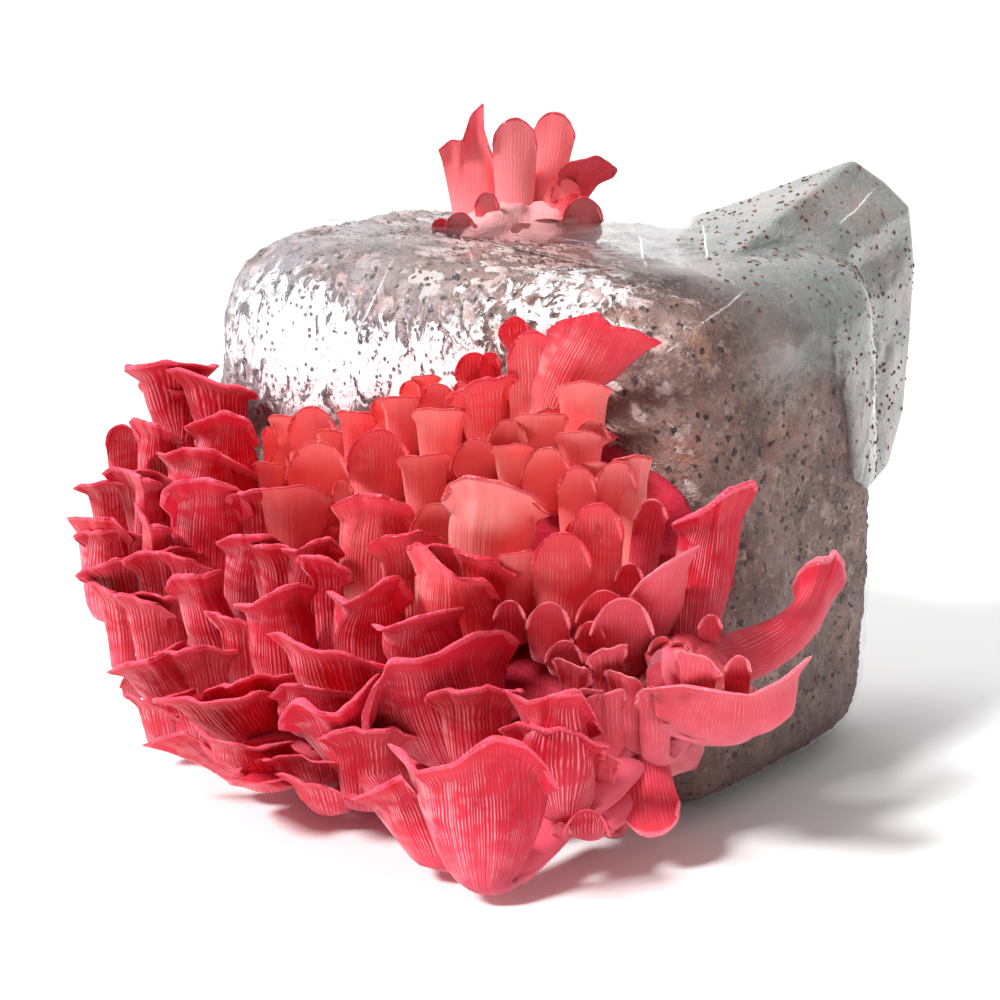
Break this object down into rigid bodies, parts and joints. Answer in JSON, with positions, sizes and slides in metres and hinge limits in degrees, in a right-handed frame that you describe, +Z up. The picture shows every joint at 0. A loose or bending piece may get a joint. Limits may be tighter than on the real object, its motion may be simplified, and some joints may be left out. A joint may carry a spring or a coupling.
{
  "type": "oyster mushroom grow kit",
  "caption": "Fruiting oyster mushroom grow kit: clear film bag around a colonised substrate block, with a large front flush, a side group and a small top cluster.",
  "frame": {"origin": "middle of the substrate block's footprint, on the flat underside of the bag", "axes": "+Z up; +X to the viewer's right and -Y towards the viewer when the big flush is seen from the front"},
  "size_m": [0.3285, 0.3081, 0.2365],
  "materials": {
    "substrate": "matt, fibrous, with white mycelium",
    "film": "clear glossy polythene film",
    "pale_flesh": "soft matt mushroom flesh",
    "crimson_gills": "satin gilled mushroom flesh",
    "coral_flesh": "soft satin mushroom flesh"
  },
  "bodies": {
    "root": {"substrate_block": "substrate", "grow_bag": "film", "front_cluster_base": "pale_flesh", "top_cluster_base": "pale_flesh", "front_mushroom_01": "crimson_gills", "front_mushroom_02": "crimson_gills", "front_mushroom_03": "crimson_gills", "front_mushroom_04": "crimson_gills", "front_mushroom_05": "crimson_gills", "front_mushroom_06": "crimson_gills", "front_mushroom_07": "crimson_gills", "front_mushroom_08": "crimson_gills", "front_mushroom_09": "crimson_gills", "front_mushroom_10": "crimson_gills", "front_mushroom_11": "crimson_gills", "front_mushroom_12": "crimson_gills", "front_mushroom_13": "crimson_gills", "front_mushroom_14": "crimson_gills", "front_mushroom_15": "crimson_gills", "front_mushroom_16": "crimson_gills", "front_mushroom_17": "crimson_gills", "front_mushroom_18": "crimson_gills", "front_mushroom_19": "crimson_gills", "front_mushroom_20": "crimson_gills", "left_mushroom_01": "crimson_gills", "left_mushroom_02": "crimson_gills", "left_mushroom_03": "crimson_gills", "left_mushroom_04": "crimson_gills", "left_mushroom_05": "crimson_gills", "left_mushroom_06": "crimson_gills", "left_mushroom_07": "crimson_gills", "left_mushroom_08": "crimson_gills", "left_mushroom_09": "crimson_gills", "left_mushroom_10": "crimson_gills", "left_mushroom_11": "crimson_gills", "left_mushroom_12": "crimson_gills", "left_mushroom_13": "crimson_gills", "centre_mushroom_01": "coral_flesh", "centre_mushroom_02": "coral_flesh", "centre_mushroom_03": "coral_flesh", "centre_mushroom_04": "coral_flesh", "centre_mushroom_05": "coral_flesh", "centre_mushroom_06": "coral_flesh", "centre_mushroom_07": "coral_flesh", "upper_mushroom_01": "coral_flesh", "upper_mushroom_02": "coral_flesh", "upper_mushroom_03": "coral_flesh", "upper_mushroom_04": "coral_flesh", "right_mushroom_01": "coral_flesh", "right_mushroom_02": "coral_flesh", "right_mushroom_03": "coral_flesh", "right_mushroom_04": "coral_flesh", "right_mushroom_05": "coral_flesh", "top_mushroom_01": "coral_flesh", "top_mushroom_02": "coral_flesh", "top_mushroom_03": "coral_flesh", "top_mushroom_04": "coral_flesh"}
  },
  "joints": []
}
